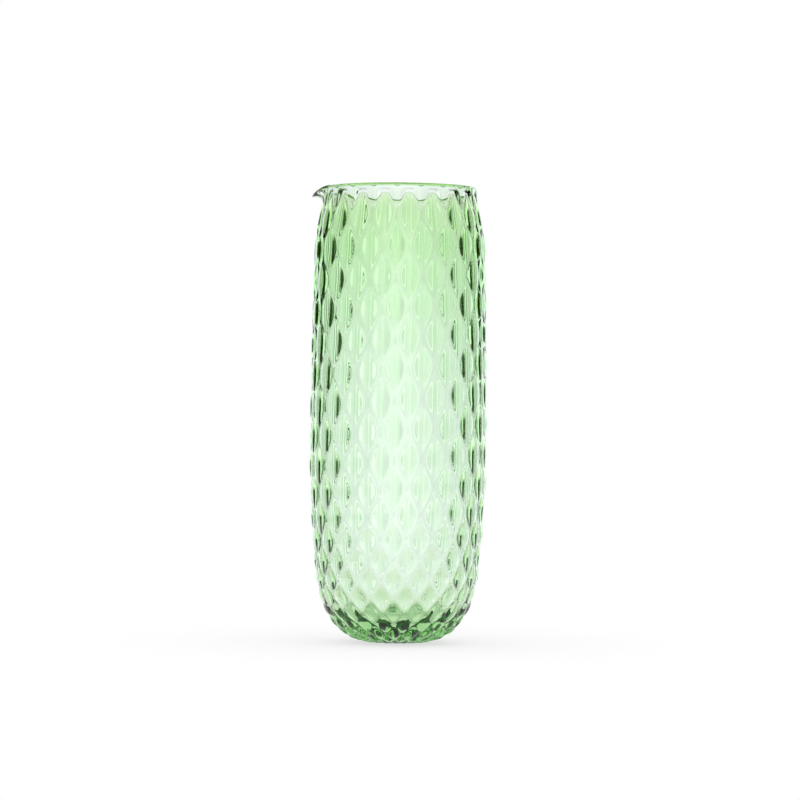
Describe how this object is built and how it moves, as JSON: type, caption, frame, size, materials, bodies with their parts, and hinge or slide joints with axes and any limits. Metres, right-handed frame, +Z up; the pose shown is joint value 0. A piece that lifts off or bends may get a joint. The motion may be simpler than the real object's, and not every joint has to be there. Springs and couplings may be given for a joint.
{
  "type": "glass carafe",
  "caption": "Tall blown-glass carafe in pale green, barrel-sided with a rounded heavy base, a diamond-optic wall and a small pulled pouring lip, for serving water or wine.",
  "frame": {"origin": "on the carafe's axis, in the plane of the flat ring it stands on", "axes": "+Z up along the carafe's axis towards its mouth; -X points the way the pouring lip does; Y to the two sides of the lip"},
  "size_m": [0.0978, 0.0978, 0.25],
  "materials": {
    "green_glass": "fire-polished, clear green"
  },
  "bodies": {
    "root": {"glass_body": "green_glass"}
  },
  "joints": []
}
